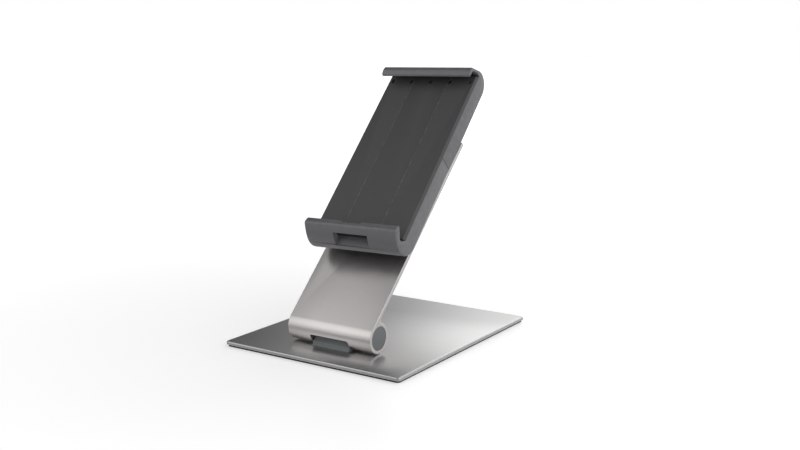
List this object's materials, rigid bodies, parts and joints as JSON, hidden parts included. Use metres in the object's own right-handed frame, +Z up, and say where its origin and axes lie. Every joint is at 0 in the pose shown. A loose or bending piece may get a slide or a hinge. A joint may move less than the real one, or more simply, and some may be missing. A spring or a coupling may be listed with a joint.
{
  "type": "tablet stand",
  "caption": "Free-standing metal tablet stand: brushed base plate, satin arm on a friction hinge, and a graphite swivelling holder with a fixed lower and a sliding upper claw.",
  "frame": {"origin": "middle of the underside of the base pad, where the stand rests", "axes": "+X to the stand's right as seen from the front, +Y to the back, +Z up"},
  "size_m": [0.155, 0.1834, 0.203],
  "materials": {
    "brushed_base": "fine brushed stainless face with a bright chamfered edge",
    "satin_aluminium": "bead blasted and anodised, warm silver, satin",
    "grey_plastic": "matt moulded, slate grey",
    "graphite_plastic": "fine spark texture, graphite grey",
    "panel_plastic": "soft-touch coating, charcoal",
    "black_plastic": "matt moulded, black",
    "black_rubber": "matt, slightly porous",
    "zinc_steel": "bright zinc plated",
    "spring_steel": "oiled, dark",
    "bush_brass": "turned",
    "acetal": "natural, slightly waxy",
    "guide_aluminium": "stamped, mill finish"
  },
  "bodies": {
    "base": {"base_plate": "brushed_base", "base_pad": "black_rubber", "hinge_block": "grey_plastic", "block_screws": "zinc_steel", "hinge_axle": "zinc_steel", "disc_springs_left": "spring_steel", "disc_springs_right": "spring_steel", "clamp_nut_left": "zinc_steel", "clamp_nut_right": "zinc_steel"},
    "arm": {"arm": "satin_aluminium", "end_cap_left": "grey_plastic", "end_cap_right": "grey_plastic", "friction_bush_left": "bush_brass", "friction_bush_right": "bush_brass", "hub_disc": "black_plastic", "hub_screws": "zinc_steel", "hub_washer": "acetal", "pivot_bolt": "zinc_steel", "pivot_nut": "zinc_steel", "wave_washer": "spring_steel"},
    "holder": {"turntable": "black_plastic", "turntable_screws": "zinc_steel", "lower_body": "graphite_plastic", "lower_pad": "black_rubber", "guide_plate": "guide_aluminium", "guide_screws": "zinc_steel"},
    "slider": {"slider": "graphite_plastic", "front_panel": "panel_plastic", "rail_left": "acetal", "rail_right": "acetal", "upper_pad": "black_rubber", "panel_screws": "zinc_steel"},
    "lock": {"lock_screw": "zinc_steel", "lock_cam": "zinc_steel"}
  },
  "joints": [
    {"name": "arm_tilt", "type": "hinge", "parent": "base", "child": "arm", "pos_m": [0, -0.0563, 0.01615], "axis": [1, 0, 0], "range_deg": [-44.6, 29.4]},
    {"name": "holder_swivel", "type": "hinge", "parent": "arm", "child": "holder", "pos_m": [0, 0.02812, 0.12138], "axis": [0, -0.7022, 0.712], "continuous": true},
    {"name": "slider_reach", "type": "slide", "parent": "holder", "child": "slider", "axis": [-0.0279, 0.7117, 0.7019], "range_m": [0, 0.057]},
    {"name": "lock_turn", "type": "hinge", "parent": "holder", "child": "lock", "pos_m": [-0.03993, 0.00943, 0.11053], "axis": [0.9996, 0.0199, 0.0196], "range_deg": [0, 180]}
  ]
}
